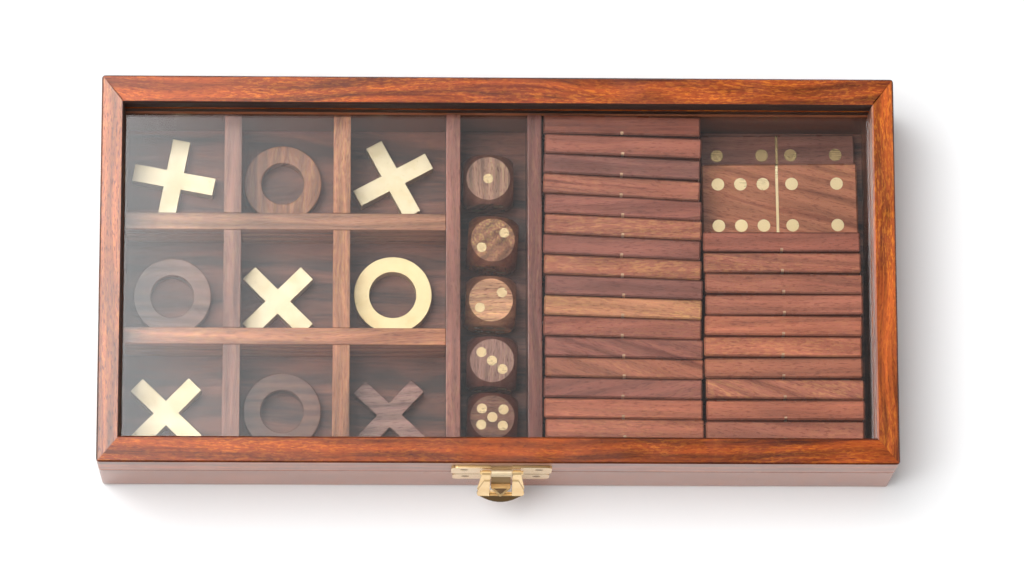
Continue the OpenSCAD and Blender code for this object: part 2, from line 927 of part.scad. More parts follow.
module die_4_pips() {
    color("#d9bb6c") die_pips(3);
}

module die_5_pips() {
    color("#d9bb6c") die_pips(4);
}

// Dominoes. Each is drawn flat on its back, with its middle at the origin and its pips up.

module bevelled(w, h) {
    b = tile_bevel;
    polygon([
        [-w / 2 + b, -h / 2], [w / 2 - b, -h / 2], [w / 2, -h / 2 + b], [w / 2, h / 2 - b],
        [w / 2 - b, h / 2], [-w / 2 + b, h / 2], [-w / 2, h / 2 - b], [-w / 2, -h / 2 + b]
    ]);
}

module tile_blank() {
    intersection() {
        translate([0, 0, -tile_t / 2]) linear_extrude(tile_t) bevelled(tile_l, tile_w);
        translate([0, tile_w / 2, 0]) rotate([90, 0, 0]) linear_extrude(tile_w) bevelled(tile_l, tile_t);
        translate([-tile_l / 2, 0, 0]) rotate([90, 0, 90]) linear_extrude(tile_l) bevelled(tile_w, tile_t);
    }
}

// The pips of both halves, with their middles on the face
module on_halves(pair, set) {
    for (half = [0, 1])
        for (place = pip_places(pair[half]))
            translate([
                (half - 0.5) * tile_l / 2 + set[2 * half] + place[0] * tile_pip_x,
                set[3] + place[1] * tile_pip_y,
                tile_t / 2
            ]) children();
}

module line_bar(gap, set) {
    translate([set[1] - line_w / 2 + gap, -tile_w, tile_t / 2 - inlay_depth + gap])
        cube([line_w - 2 * gap, 2 * tile_w, inlay_depth + over]);
}

module tile(pair, set = even_set) {
    difference() {
        tile_blank();
        on_halves(pair, set) translate([0, 0, -inlay_depth]) cylinder(h = inlay_depth + over, d = tile_pip_d);
        line_bar(0, set);
    }
}

module tile_inlays(pair, set = even_set) {
    on_halves(pair, set) translate([0, 0, -inlay_depth + glue_gap])
        cylinder(h = inlay_depth - glue_gap, d = tile_pip_d - 2 * glue_gap);
    intersection() {
        tile_blank();
        line_bar(glue_gap, set);
    }
}

module in_left_row(i) {
    translate([
        left_column_x + column_jitter * sin(101 * i),
        inner_d / 2 - left_place(i),
        floor_t + tile_w / 2
    ]) rotate([90, 0, -left_turn(i)]) children();
}

module in_right_row(i) {
    translate([
        right_column_x + column_jitter * sin(71 * i),
        -inner_d / 2 + right_place(i),
        floor_t + tile_w / 2
    ]) rotate([90, 0, right_turn(i)]) children();
}

module at_lower() {
    translate([flat_x, lower_y, floor_t + tile_t / 2]) rotate([0, 0, lower_turn]) children();
}

module at_upper() {
    translate([flat_x, upper_y, floor_t + 1.5 * tile_t]) rotate([0, 0, upper_turn]) children();
}

module dominoes_left_row() {
    color("#8a4a30") for (i = [0:left_count - 1])
        in_left_row(i) tile(standing_set[i]);
}

module dominoes_left_inlays() {
    color("#d9bb6c") for (i = [0:left_count - 1])
        in_left_row(i) tile_inlays(standing_set[i]);
}

module dominoes_right_row() {
    color("#8a4a30") for (i = [0:right_count - 1])
        in_right_row(i) tile(standing_set[left_count + i]);
}

module dominoes_right_inlays() {
    color("#d9bb6c") for (i = [0:right_count - 1])
        in_right_row(i) tile_inlays(standing_set[left_count + i]);
}

module domino_lower() {
    color("#7a3f2a") at_lower() tile(lower_pair, lower_set);
}

module domino_lower_inlays() {
    color("#d9bb6c") at_lower() tile_inlays(lower_pair, lower_set);
}

module domino_upper() {
    color("#8a4a30") at_upper() tile(upper_pair, upper_set);
}

module domino_upper_inlays() {
    color("#d9bb6c") at_upper() tile_inlays(upper_pair, upper_set);
}

base_front();
base_back();
base_left_end();
base_right_end();
base_floor();
grid_rail_back();
grid_rail_front();
grid_post_left();
grid_post_right();
partition_left();
partition_right();
lid_front();
lid_back();
lid_left_end();
lid_right_end();
glass_pane();
hinge_left_base_leaf();
hinge_left_lid_leaf();
hinge_left_pin();
hinge_right_base_leaf();
hinge_right_lid_leaf();
hinge_right_pin();
hinge_base_screws();
hinge_lid_screws();
latch_lid_plate();
latch_pin();
latch_flap();
latch_catch();
latch_lid_screws();
latch_base_screws();
cross_back_left();
ring_back_middle();
cross_back_right();
ring_middle_left();
cross_centre();
ring_middle_right();
cross_front_left();
ring_front_middle();
cross_front_right();
die_1();
die_2();
die_3();
die_4();
die_5();
die_1_pips();
die_2_pips();
die_3_pips();
die_4_pips();
die_5_pips();
dominoes_left_row();
dominoes_left_inlays();
dominoes_right_row();
dominoes_right_inlays();
domino_lower();
domino_lower_inlays();
domino_upper();
domino_upper_inlays();
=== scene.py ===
import json
import math

import bpy
from mathutils import Matrix, Vector


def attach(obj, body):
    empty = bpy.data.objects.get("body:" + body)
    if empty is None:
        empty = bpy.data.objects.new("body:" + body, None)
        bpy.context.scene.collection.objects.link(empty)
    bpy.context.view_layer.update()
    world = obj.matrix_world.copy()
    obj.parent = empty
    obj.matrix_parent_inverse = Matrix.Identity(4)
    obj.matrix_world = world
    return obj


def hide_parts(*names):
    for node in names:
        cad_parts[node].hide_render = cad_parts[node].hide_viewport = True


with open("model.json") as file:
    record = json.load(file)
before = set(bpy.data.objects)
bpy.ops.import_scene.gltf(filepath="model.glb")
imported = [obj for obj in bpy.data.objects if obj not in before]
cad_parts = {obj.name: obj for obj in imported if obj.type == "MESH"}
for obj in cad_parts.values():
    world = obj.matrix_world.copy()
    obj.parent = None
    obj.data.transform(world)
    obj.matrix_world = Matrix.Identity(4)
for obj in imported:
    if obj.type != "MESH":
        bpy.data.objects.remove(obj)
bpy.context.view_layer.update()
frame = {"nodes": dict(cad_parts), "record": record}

BODY_OF = {n: body for body, nodes in frame["record"]["behaviour"]["bodies"].items() for n in nodes}

# How far a softened copy's edges are rounded, in metres
RAIL_ROUND = 0.00045
WALL_ROUND = 0.0004
GRID_ROUND = 0.00035
METAL_ROUND = 0.00012
INLAY_GROOVE = 0.0002
SCREW_ROUND = 0.00008

# Edges sharper than the first angle are rounded, and faces that meet below the second are shaded smooth
SHARPEST_LEFT = math.radians(28.0)
SMOOTH_UP_TO = math.radians(32)
# Points nearer than this are one point in a merged copy, in metres
MERGE_WITHIN = 1e-6


# Node building

def add_node(tree, kind, **settings):
    node = tree.nodes.new(kind)
    for name, value in settings.items():
        setattr(node, name, value)
    return node


def feed(tree, socket, value):
    """Links a socket, or sets it where the value is a plain number or colour."""
    if isinstance(value, bpy.types.NodeSocket):
        tree.links.new(value, socket)
    else:
        socket.default_value = value


def maths(tree, operation, *values):
    node = add_node(tree, "ShaderNodeMath", operation=operation)
    for socket, value in zip(node.inputs, values):
        feed(tree, socket, value)
    return node.outputs[0]


def vector_maths(tree, operation, *values):
    node = add_node(tree, "ShaderNodeVectorMath", operation=operation)
    for socket, value in zip(node.inputs, values):
        feed(tree, socket, value)
    return node.outputs[0]


def remap(tree, value, low, high, to_low=0.0, to_high=1.0, smooth=True):
    node = add_node(tree, "ShaderNodeMapRange")
    node.interpolation_type = "SMOOTHSTEP" if smooth else "LINEAR"
    feed(tree, node.inputs["Value"], value)
    for name, number in (("From Min", low), ("From Max", high), ("To Min", to_low), ("To Max", to_high)):
        feed(tree, node.inputs[name], number)
    return node.outputs["Result"]


def noise(tree, vector, scale, detail=2.0, rough=0.5):
    node = add_node(tree, "ShaderNodeTexNoise")
    feed(tree, node.inputs["Vector"], vector)
    node.inputs["Scale"].default_value = scale
    node.inputs["Detail"].default_value = detail
    node.inputs["Roughness"].default_value = rough
    return node.outputs["Fac"]


def blend_colour(tree, amount, first, second):
    node = add_node(tree, "ShaderNodeMix", data_type="RGBA")
    feed(tree, node.inputs[0], amount)
    feed(tree, node.inputs[6], first)
    feed(tree, node.inputs[7], second)
    return node.outputs[2]


def new_group(name, inputs, outputs):
    """A shader node group with its sockets and its two ends."""
    group = bpy.data.node_groups.new(name, "ShaderNodeTree")
    for socket_name, kind, value in inputs:
        socket = group.interface.new_socket(name=socket_name, in_out="INPUT", socket_type=kind)
        if value is not None:
            socket.default_value = value
    for socket_name, kind in outputs:
        group.interface.new_socket(name=socket_name, in_out="OUTPUT", socket_type=kind)
    start = group.nodes.new("NodeGroupInput")
    end = group.nodes.new("NodeGroupOutput")
    return group, start.outputs, end.inputs


def place_group(tree, group, **values):
    node = add_node(tree, "ShaderNodeGroup", node_tree=group)
    for name, value in values.items():
        feed(tree, node.inputs[name.replace("_", " ")], value)
    return node.outputs


def hue(hex_code):
    """A colour written as on a paint card, in the light values that shaders use."""
    parts = [int(hex_code[i:i + 2], 16) / 255 for i in (0, 2, 4)]
    return tuple(p / 12.92 if p <= 0.04045 else ((p + 0.055) / 1.055) ** 2.4 for p in parts) + (1.0,)


# Shared effects

def build_rosewood_grain():
    """Grain of sheesham, with the fibres along X: soft bands, dark streaks, pores and golden flecks."""
    group, given, out = new_group(
        "rosewood grain",
        [("Vector", "NodeSocketVector", None), ("Seed", "NodeSocketFloat", 0.0),
         ("Band Width", "NodeSocketFloat", 0.008), ("Waviness", "NodeSocketFloat", 1.0)],
        [("Bands", "NodeSocketFloat"), ("Streaks", "NodeSocketFloat"), ("Pores", "NodeSocketFloat"),
         ("Flecks", "NodeSocketFloat"), ("Height", "NodeSocketFloat")])
    shift = add_node(group, "ShaderNodeVectorMath", operation="SCALE")
    shift.inputs[0].default_value = (3.1, 1.7, 2.3)
    feed(group, shift.inputs["Scale"], given["Seed"])
    moved = vector_maths(group, "ADD", given["Vector"], shift.outputs[0])

    def stretched(vector, along, across, detail, rough=0.55):
        drawn_out = vector_maths(group, "MULTIPLY", vector, (along, across, across))
        return noise(group, drawn_out, 1.0, detail, rough)

    drift = stretched(moved, 11.0, 30.0, 2.0)
    wave = maths(group, "MULTIPLY", maths(group, "SUBTRACT", drift, 0.5), given["Waviness"])
    lean = add_node(group, "ShaderNodeCombineXYZ")
    feed(group, lean.inputs["Y"], maths(group, "MULTIPLY", wave, 0.016))
    bent = vector_maths(group, "ADD", moved, lean.outputs[0])
    apart = add_node(group, "ShaderNodeSeparateXYZ")
    feed(group, apart.inputs[0], bent)
    across = maths(group, "ADD", apart.outputs["Y"], maths(group, "MULTIPLY", apart.outputs["Z"], 0.6))
    rings = maths(group, "ADD", maths(group, "DIVIDE", across, given["Band Width"]),
                  maths(group, "MULTIPLY", stretched(bent, 16.0, 90.0, 2.0), 1.6))
    bands = maths(group, "ADD", 0.5, maths(group, "MULTIPLY", 0.5, maths(group, "SINE",
                  maths(group, "MULTIPLY", rings, 2 * math.pi))))
    cloud = stretched(bent, 24.0, 120.0, 3.0, 0.6)
    fibre = stretched(bent, 70.0, 1100.0, 2.0, 0.6)
    mixed = maths(group, "ADD", maths(group, "MULTIPLY", bands, 0.16), maths(group, "MULTIPLY", cloud, 0.5))
    feed(group, out["Bands"], maths(group, "ADD", mixed, maths(group, "MULTIPLY", fibre, 0.34)))
    streak = stretched(bent, 9.0, 300.0, 3.0, 0.65)
    feed(group, out["Streaks"], remap(group, streak, 0.52, 0.72))
    pores = remap(group, stretched(bent, 420.0, 2300.0, 1.0), 0.56, 0.66)
    feed(group, out["Pores"], pores)
    patch = remap(group, stretched(moved, 18.0, 60.0, 2.0), 0.36, 0.62, 0.25, 1.0)
    fleck = remap(group, stretched(bent, 360.0, 1500.0, 2.0, 0.7), 0.48, 0.60)
    feed(group, out["Flecks"], maths(group, "MULTIPLY", fleck, patch))
    feed(group, out["Height"], maths(group, "SUBTRACT", maths(group, "MULTIPLY", fibre, 0.35), pores))
    return group


def build_rub_marks():
    """Fingermarks and small dull patches, from 0 to 1."""
    group, given, out = new_group(
        "rub marks",
        [("Vector", "NodeSocketVector", None), ("Size", "NodeSocketFloat", 0.01)],
        [("Marks", "NodeSocketFloat")])
    scaled = add_node(group, "ShaderNodeVectorMath", operation="SCALE")
    feed(group, scaled.inputs[0], given["Vector"])
    feed(group, scaled.inputs["Scale"], maths(group, "DIVIDE", 1.0, given["Size"]))
    feed(group, out["Marks"], remap(group, noise(group, scaled.outputs[0], 1.0, 4.0, 0.6), 0.35, 0.7))
    return group


ROSEWOOD = build_rosewood_grain()
RUB_MARKS = build_rub_marks()

TURN_FOR = {"X": (0.0, 0.0, 0.0), "Y": (0.0, 0.0, -math.pi / 2), "Z": (0.0, math.pi / 2, 0.0)}

# How a wood's body colour changes in its streaks, its pores and its golden flecks
STREAK_TINT = (0.42, 0.30, 0.32)
PORE_TINT = (0.40, 0.28, 0.30)
FLECK_TINT = (1.6, 2.3, 1.4)
# The dark that painted shade and the lid's mitre stain blend towards, the pale of a painted sheen, and the
# dark of painted shade on brass
STAIN_AND_PAINTED_SHADE_COLOUR = "1c0d07"
PAINTED_SHEEN_COLOUR = "c8b0a8"
BRASS_PAINTED_SHADE = "50320c"
BRASS_SPECK = "6b5026"
# Depth of the wood's grain and of the brass's brush lines, in metres
GRAIN_DEPTH = 0.0002
BRUSH_DEPTH = 0.00005
# Size of the rub marks on lacquered wood, in metres
WOOD_RUB_SIZE = 0.012

# What a wood looks like unless it says otherwise. Shares run from 0 to 1, sizes are in metres.
WOOD_LOOK = {"band_width": 0.006, "waviness": 0.8, "contrast": 0.6, "streaks": 0.6, "pores": 0.5,
             "flecks": 0.25, "shine": 0.18, "specular": 0.36, "relief": 0.04, "stain": STAIN_AND_PAINTED_SHADE_COLOUR, "drift": 0.0,
             "rubbed": True}


def start_material(name):
    material = bpy.data.materials.new(name)
    material.use_nodes = True
    tree = material.node_tree
    shader = tree.nodes["Principled BSDF"]
    place = add_node(tree, "ShaderNodeTexCoord").outputs["Object"]
    return material, tree, shader, place


def read_attribute(tree, name, output="Fac"):
    return add_node(tree, "ShaderNodeAttribute", attribute_name=name).outputs[output]


def split(tree, vector):
    apart = add_node(tree, "ShaderNodeSeparateXYZ")
    feed(tree, apart.inputs[0], vector)
    return apart.outputs["X"], apart.outputs["Y"], apart.outputs["Z"]


def scale(tree, vector, amount):
    node = add_node(tree, "ShaderNodeVectorMath", operation="SCALE")
    feed(tree, node.inputs[0], vector)
    feed(tree, node.inputs["Scale"], amount)
    return node.outputs[0]


def timber(name, body, along="X", seed=1.0, **changes):
    """A lacquered hardwood of one body colour. Without one, each tile has its own colour in its attribute
    called paint, the offset and slope of its grain in one called tile, and its streaks and flecks in
    one called figure."""
    look = {**WOOD_LOOK, **changes}
    material, tree, shader, place = start_material(name)
    turn = add_node(tree, "ShaderNodeMapping")
    feed(tree, turn.inputs["Vector"], place)
    turn.inputs["Rotation"].default_value = TURN_FOR[along]
    vector = turn.outputs[0]
    streaks, flecks = look["streaks"], look["flecks"]
    if body:
        colour = hue(body)[:3]
    else:
        colour = read_attribute(tree, "paint", "Vector")
        offset, slope, _ = split(tree, read_attribute(tree, "tile", "Vector"))
        streaks, flecks, _ = split(tree, read_attribute(tree, "figure", "Vector"))
        vector = vector_maths(tree, "ADD", vector, scale(tree, (3.7, 2.9, 1.3), offset))
        slant = add_node(tree, "ShaderNodeVectorRotate", rotation_type="Z_AXIS")
        feed(tree, slant.inputs["Vector"], vector)
        feed(tree, slant.inputs["Angle"], slope)
        vector = slant.outputs[0]
    grain = place_group(tree, ROSEWOOD, Vector=vector, Seed=seed, Band_Width=look["band_width"],
                        Waviness=look["waviness"])
    half = look["contrast"] / 2
    tone = remap(tree, grain["Bands"], 0.35, 0.65, 1 - half, 1 + half, smooth=False)
    # A drift darkens the wood towards the right: painted shade of the light falling off away from the left
    if look["drift"]:
        drift = maths(tree, "MULTIPLY", split(tree, place)[0], look["drift"])
        tone = maths(tree, "MULTIPLY", tone, maths(tree, "ADD", drift, 1.0))
    paint = scale(tree, colour, tone)
    for share, part, tint in ((streaks, "Streaks", STREAK_TINT), (flecks, "Flecks", FLECK_TINT),
                              (look["pores"], "Pores", PORE_TINT)):
        tinted = vector_maths(tree, "MULTIPLY", paint, tint)
        paint = blend_colour(tree, maths(tree, "MULTIPLY", grain[part], share), paint, tinted)
    # The attribute's first part is painted shade, with the lid's mitre stain; its second dulls the shine;
    # its third is a painted pale sheen
    stain, dulling, painted_sheen = split(tree, read_attribute(tree, "stain_dulling_and_painted_light", "Vector"))
    paint = blend_colour(tree, stain, paint, hue(look["stain"]))
    paint = blend_colour(tree, painted_sheen, paint, hue(PAINTED_SHEEN_COLOUR))
    feed(tree, shader.inputs["Base Color"], paint)
    rough = look["shine"]
    if look["rubbed"]:
        marks = place_group(tree, RUB_MARKS, Vector=place, Size=WOOD_RUB_SIZE)["Marks"]
        rough = remap(tree, marks, 0.0, 1.0, look["shine"] - 0.02, look["shine"] + 0.04, smooth=False)
    feed(tree, shader.inputs["Roughness"], maths(tree, "ADD", rough, dulling))
    shader.inputs["Specular IOR Level"].default_value = look["specular"]
    bump = add_node(tree, "ShaderNodeBump")
    bump.inputs["Strength"].default_value = look["relief"]
    bump.inputs["Distance"].default_value = GRAIN_DEPTH
    feed(tree, bump.inputs["Height"], grain["Height"])
    feed(tree, shader.inputs["Normal"], bump.outputs[0])
    return material


def brass(name, colour, dull, shine=0.25, brushed="X", scratch=0.3, metallic=1.0, marks_size=0.006):
    """Lacquered brass with fine brush lines along one axis and dull finger marks."""
    material, tree, shader, place = start_material(name)
    turn = add_node(tree, "ShaderNodeMapping")
    feed(tree, turn.inputs["Vector"], place)
    turn.inputs["Rotation"].default_value = TURN_FOR[brushed]
    drawn_out = vector_maths(tree, "MULTIPLY", turn.outputs[0], (90.0, 4200.0, 4200.0))
    lines = noise(tree, drawn_out, 1.0, 2.0, 0.6)
    marks = place_group(tree, RUB_MARKS, Vector=place, Size=marks_size)["Marks"]
    specks = remap(tree, noise(tree, place, 900.0, 1.0), 0.74, 0.78)
    paint = blend_colour(tree, maths(tree, "MULTIPLY", marks, 0.6), hue(colour), hue(dull))
    paint = blend_colour(tree, maths(tree, "MULTIPLY", specks, 0.5), paint, hue(BRASS_SPECK))
    # The attribute's first part is painted shade and painted dark reflection on the brass
    painted_shade, _, _ = split(tree, read_attribute(tree, "stain_dulling_and_painted_light", "Vector"))
    paint = blend_colour(tree, painted_shade, paint, hue(BRASS_PAINTED_SHADE))
    feed(tree, shader.inputs["Base Color"], paint)
    shader.inputs["Metallic"].default_value = metallic
    rough = maths(tree, "ADD", remap(tree, marks, 0.0, 1.0, shine - 0.03, shine + 0.03, smooth=False),
                  maths(tree, "MULTIPLY", lines, 0.04))
    feed(tree, shader.inputs["Roughness"], rough)
    bump = add_node(tree, "ShaderNodeBump")
    bump.inputs["Strength"].default_value = scratch
    bump.inputs["Distance"].default_value = BRUSH_DEPTH
    feed(tree, bump.inputs["Height"], lines)
    feed(tree, shader.inputs["Normal"], bump.outputs[0])
    return material


def clear_glass():
    """Float glass with a trace of dust. Light that only passes on its way isn't bent."""
    material, tree, shader, place = start_material("lid glass")
    dust = place_group(tree, RUB_MARKS, Vector=place, Size=0.03)["Marks"]
    feed(tree, shader.inputs["Base Color"], blend_colour(tree, dust, hue("fbfdfc"), hue("f4f7f6")))
    shader.inputs["Metallic"].default_value = 0.0
    shader.inputs["Roughness"].default_value = 0.0
    shader.inputs["Transmission Weight"].default_value = 1.0
    shader.inputs["IOR"].default_value = 1.5
    rays = add_node(tree, "ShaderNodeLightPath")
    passing = maths(tree, "MAXIMUM", rays.outputs["Is Shadow Ray"], rays.outputs["Is Diffuse Ray"])
    through = add_node(tree, "ShaderNodeBsdfTransparent")
    through.inputs["Color"].default_value = (0.93, 0.95, 0.94, 1.0)
    join = add_node(tree, "ShaderNodeMixShader")
    feed(tree, join.inputs[0], passing)
    feed(tree, join.inputs[1], shader.outputs[0])
    feed(tree, join.inputs[2], through.outputs[0])
    feed(tree, tree.nodes["Material Output"].inputs["Surface"], join.outputs[0])
    return material


# Materials of the pieces

def lid_wood(name, body, along, seed, **changes):
    return timber(name, body, along, seed, **{"band_width": 0.005, "contrast": 1.1, "streaks": 0.9,
                                              "pores": 0.5, "flecks": 1.0, **changes})


def wall_wood(name, along, seed):
    # Its dark colour is that of the walls' painted shade
    return timber(name, "98522f", along, seed, band_width=0.007, contrast=0.4, streaks=0.4, pores=0.3,
                  flecks=0.1, specular=0.9, shine=0.24, relief=0.015, stain="241c1a", rubbed=False)


def bar_wood(name, body, along, seed, **changes):
    return timber(name, body, along, seed, **{"band_width": 0.004, "contrast": 0.7, "streaks": 0.6,
                                              "flecks": 0.3, "relief": 0.02, **changes})


def die_wood(name, body, along, seed, **changes):
    # Its dark red is the colour of the dice's painted shade
    return bar_wood(name, body, along, seed, **{"stain": "4c130a", "pores": 0.7, **changes})


MATERIALS = {
    # The front and back rails' drift paints shade that deepens towards the right
    "lid_front": lid_wood("lid front rosewood", "8c3d12", "X", 2.0, drift=-1.0),
    "lid_back": lid_wood("lid back rosewood", "924016", "X", 5.0, drift=-1.2),
    "lid_left_end": lid_wood("lid left rosewood", "a2562a", "Y", 7.0, specular=0.9, shine=0.2,
                             flecks=0.4, pores=0.9),
    "lid_right_end": lid_wood("lid right rosewood", "9e4a1c", "Y", 9.0),
    "base_front": wall_wood("base front rosewood", "X", 12.0),
    "base_back": wall_wood("base back rosewood", "X", 15.0),
    "base_left_end": wall_wood("base left rosewood", "Y", 17.0),
    "base_right_end": wall_wood("base right rosewood", "Y", 19.0),
    "base_floor": timber("floor panel", "64392c", "X", 21.0, band_width=0.012, waviness=1.0, streaks=1.0,
                         pores=0.4, shine=0.45, contrast=1.4),
    "grid_rail_back": bar_wood("back grid rail", "a06a50", "X", 23.0),
    "grid_rail_front": bar_wood("front grid rail", "bd7553", "X", 25.0),
    "grid_post_left": bar_wood("left grid post", "926052", "Y", 27.0, streaks=0.2),
    "grid_post_right": bar_wood("right grid post", "b26f4e", "Y", 29.0),
    "partition_left": bar_wood("left partition", "90584c", "Y", 31.0),
    "partition_right": bar_wood("right partition", "7a4840", "Y", 33.0),
    "ring_back_middle": bar_wood("back ring wood", "985f42", "Y", 35.0),
    "ring_middle_left": bar_wood("left ring wood", "7c564a", "X", 37.0),
    "ring_front_middle": bar_wood("front ring wood", "744e42", "X", 39.0),
    "cross_front_right": bar_wood("dark cross wood", "a0766c", "X", 41.0, flecks=0.1),
    "die_1": die_wood("first die wood", "946a58", "Y", 43.0, contrast=0.9),
    "die_2": die_wood("second die wood", "905c46", "Z", 45.0, flecks=0.9, contrast=0.9),
    "die_3": die_wood("third die wood", "c98e6c", "X", 47.0),
    "die_4": die_wood("fourth die wood", "92685c", "Y", 49.0),
    "die_5": die_wood("fifth die wood", "784c3c", "X", 51.0),
}
TILE_WOOD = timber("domino rosewood", None, "X", 61.0, pores=0.45, contrast=0.5, band_width=0.005,
                   waviness=0.6)
PALE_BRASS = brass("pale brushed brass", "d2be9e", "bea67a", 0.36, "X", 0.1, 0.5)
GOLD_BRASS = brass("golden brushed brass", "d8be90", "c8aa78", 0.3, "X", 0.1, 0.5)
INLAY_BRASS = brass("inlay brass", "dac096", "c8aa7c", 0.28, "X", 0.02, 0.6, 0.03)
PIP_BRASS = brass("pip brass", "c8aa80", "b4926a", 0.26, "X", 0.1, 0.5)
EDGE_BRASS = brass("inlay brass on edge", "b89478", "a07a5c", 0.3, "X", 0.2)
SHADED_BRASS = brass("shaded inlay brass", "a88c62", "947850", 0.26, "X", 0.02, 0.7, 0.03)
LATCH_BRASS = brass("polished latch brass", "f0cf98", "deb474", 0.15, "Z", 0.1, 0.65)
HINGE_BRASS = brass("hinge brass", "d8b058", "a8823a", 0.25, "X", 0.2)
SCREW_BRASS = brass("screw brass", "96743a", "6a4e22", 0.28, "X", 0.2)
GLASS = clear_glass()


# Shaping

def clear_selection():
    bpy.ops.object.select_all(action="DESELECT")


def make_active(piece):
    clear_selection()
    piece.select_set(True)
    bpy.context.view_layer.objects.active = piece


def edit(piece, *steps):
    """Runs the steps in edit mode on the whole of the piece."""
    make_active(piece)
    bpy.ops.object.mode_set(mode="EDIT")
    bpy.ops.mesh.select_all(action="SELECT")
    for step in steps:
        step()
    bpy.ops.object.mode_set(mode="OBJECT")


def copy_node(node, name):
    """A merged copy of a CAD node."""
    source = frame["nodes"][node]
    piece = bpy.data.objects.new(name, source.data.copy())
    bpy.context.scene.collection.objects.link(piece)
    for key in list(piece.keys()):
        del piece[key]
    edit(piece, lambda: bpy.ops.mesh.remove_doubles(threshold=MERGE_WITHIN))
    bpy.ops.mesh.customdata_custom_splitnormals_clear()
    return piece


def smooth(piece):
    make_active(piece)
    bpy.ops.object.shade_smooth_by_angle(angle=SMOOTH_UP_TO)


def round_edges(piece, width, segments=2):
    bevel = piece.modifiers.new("round", "BEVEL")
    bevel.width = width
    bevel.segments = segments
    bevel.limit_method = "ANGLE"
    bevel.angle_limit = SHARPEST_LEFT
    bevel.harden_normals = True
    smooth(piece)
    bpy.ops.object.modifier_apply(modifier="round")


def finish_faces(piece, rule):
    """Writes a face attribute: how dark, as painted shade and the lid's mitre stain, how dull, and how much
    painted pale sheen the rule wants each face to have, by its normal and its middle."""
    layer = piece.data.attributes.new("stain_dulling_and_painted_light", "FLOAT_VECTOR", "FACE")
    for face in piece.data.polygons:
        layer.data[face.index].vector = (*rule(face.normal, face.center), 0.0)[:3]


def finish_piece(piece, node, material):
    piece.data.materials.clear()
    piece.data.materials.append(material)
    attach(piece, BODY_OF[node])
    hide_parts(node)


def soften(node, name, width, material, segments=2, reshape=None):
    piece = copy_node(node, name)
    if reshape:
        reshape(piece)
    round_edges(piece, width, segments)
    finish_piece(piece, node, material)
    return piece


def dress(node, material):
    """Gives a CAD node that keeps its own mesh its material."""
    mesh = frame["nodes"][node].data
    mesh.materials.clear()
    mesh.materials.append(material)


def keep_shape(node, name, material):
    """A copy with the CAD's own edges, for pieces with pockets."""
    piece = copy_node(node, name)
    smooth(piece)
    finish_piece(piece, node, material)
    return piece


# Lid, walls and grid

INWARD = {"front": Vector((0, 1, 0)), "back": Vector((0, -1, 0)),
          "left_end": Vector((1, 0, 0)), "right_end": Vector((-1, 0, 0))}
# Painted shade on the lid rails' inner faces, darkest at the back and the left end, and a painted pale
# sheen on the right end's, each with its dulling
INNER_PAINTED_LIGHT = {"front": (0.4, 0.3), "back": (0.95, 0.4),
                "left_end": (0.9, 0.4), "right_end": (0.0, 0.12, 0.3)}
# Painted shade on the rails' rounded outer arris
OUTER_ARRIS_PAINTED_SHADE = 0.7
MITRE_STAIN = 0.85
# A painted pale sheen on the rails' outer sides, with its dulling
SIDE_PAINTED_SHEEN = (0.0, 0.15, 0.36)
# Painted shade on the walls' inner faces
WALL_INSIDE_PAINTED_SHADE = 0.45
# Painted shade on the walls' outer top arris, in the seam under the lid
SEAM_PAINTED_SHADE = 0.6
# How far the back rail's inner face leans in, and how far the edge reaches down and across, in metres
RAIL_LEAN = 0.0006
EDGE_BELOW_TOP = 0.002
EDGE_ACROSS = 0.0012


def ease_back_rail(piece):
    """Leans the back rail's inner face a little, so that its top is wider, as in the photo."""
    top = max(point.co.z for point in piece.data.vertices)
    inner = min(point.co.y for point in piece.data.vertices if point.co.z > top - EDGE_BELOW_TOP)
    for point in piece.data.vertices:
        if point.co.z > top - EDGE_BELOW_TOP and point.co.y < inner + EDGE_ACROSS:
            point.co.y -= RAIL_LEAN


for side_name, inward in INWARD.items():
    rail = "lid_" + side_name
    reshape = ease_back_rail if side_name == "back" else None
    softened = soften(rail, rail + "_rail", RAIL_ROUND, MATERIALS[rail], 3, reshape)

    # Which faces of a rail get painted shade, painted sheen or the mitre stain, by the way they face
    def lid_rule(normal, middle, inward=inward, inner=INNER_PAINTED_LIGHT[side_name]):
        facing = normal.dot(inward)
        if facing > 0.5:
            return inner
        if normal.z < 0.2:
            return SIDE_PAINTED_SHEEN
        if 0.2 < abs(normal.x) and 0.2 < abs(normal.y):
            return MITRE_STAIN, 0.2
        return (OUTER_ARRIS_PAINTED_SHADE if facing < -0.3 else 0.0), 0.0

    finish_faces(softened, lid_rule)
    wall = "base_" + side_name

    # Painted shade on the inner faces and in the seam
    def wall_rule(normal, middle, inward=inward):
        facing = normal.dot(inward)
        if facing > 0.5:
            return WALL_INSIDE_PAINTED_SHADE, 0.0
        return (SEAM_PAINTED_SHADE if facing < -0.2 and normal.z > 0.25 else 0.0), 0.0

    finish_faces(soften(wall, wall + "_wall", WALL_ROUND, MATERIALS[wall]), wall_rule)
for bar in ("grid_rail_back", "grid_rail_front", "grid_post_left", "grid_post_right"):
    soften(bar, bar + "_bar", GRID_ROUND, MATERIALS[bar])
for board in ("partition_left", "partition_right"):
    soften(board, board + "_board", GRID_ROUND, MATERIALS[board])
soften("base_floor", "floor_panel", WALL_ROUND, MATERIALS["base_floor"])
dress("glass_pane", GLASS)


# Crosses, rings and dice

for piece_name in ("cross_back_left", "cross_back_right", "cross_centre", "cross_front_left"):
    soften(piece_name, piece_name + "_brass", METAL_ROUND, PALE_BRASS)
soften("ring_middle_right", "ring_middle_right_brass", METAL_ROUND, GOLD_BRASS)
for piece_name in ("ring_back_middle", "ring_middle_left", "ring_front_middle", "cross_front_right"):
    soften(piece_name, piece_name + "_wood", GRID_ROUND, MATERIALS[piece_name])


